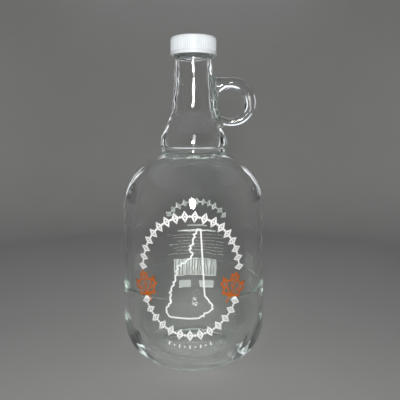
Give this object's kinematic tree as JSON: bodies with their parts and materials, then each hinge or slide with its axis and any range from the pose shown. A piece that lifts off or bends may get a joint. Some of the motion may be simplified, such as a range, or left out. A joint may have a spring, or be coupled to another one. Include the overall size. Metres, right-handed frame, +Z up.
{
  "type": "glass jug",
  "caption": "Clear glass syrup jug with a domed shoulder, a flared neck carrying a finger loop, and a ribbed white screw cap.",
  "frame": {"origin": "middle of the bearing ring that the jug stands on", "axes": "+Z up through the neck, +X towards the finger loop, -Y towards the decorated front"},
  "size_m": [0.106, 0.106, 0.2351],
  "materials": {
    "clear_glass": "blown soda-lime glass, clear with a faint grey-green edge",
    "white_plastic": "moulded polypropylene, satin",
    "white_enamel": "fired ceramic ink, white, slightly raised",
    "orange_enamel": "fired ceramic ink, orange, slightly raised"
  },
  "bodies": {
    "root": {"jug": "clear_glass", "cap": "white_plastic"}
  },
  "joints": []
}
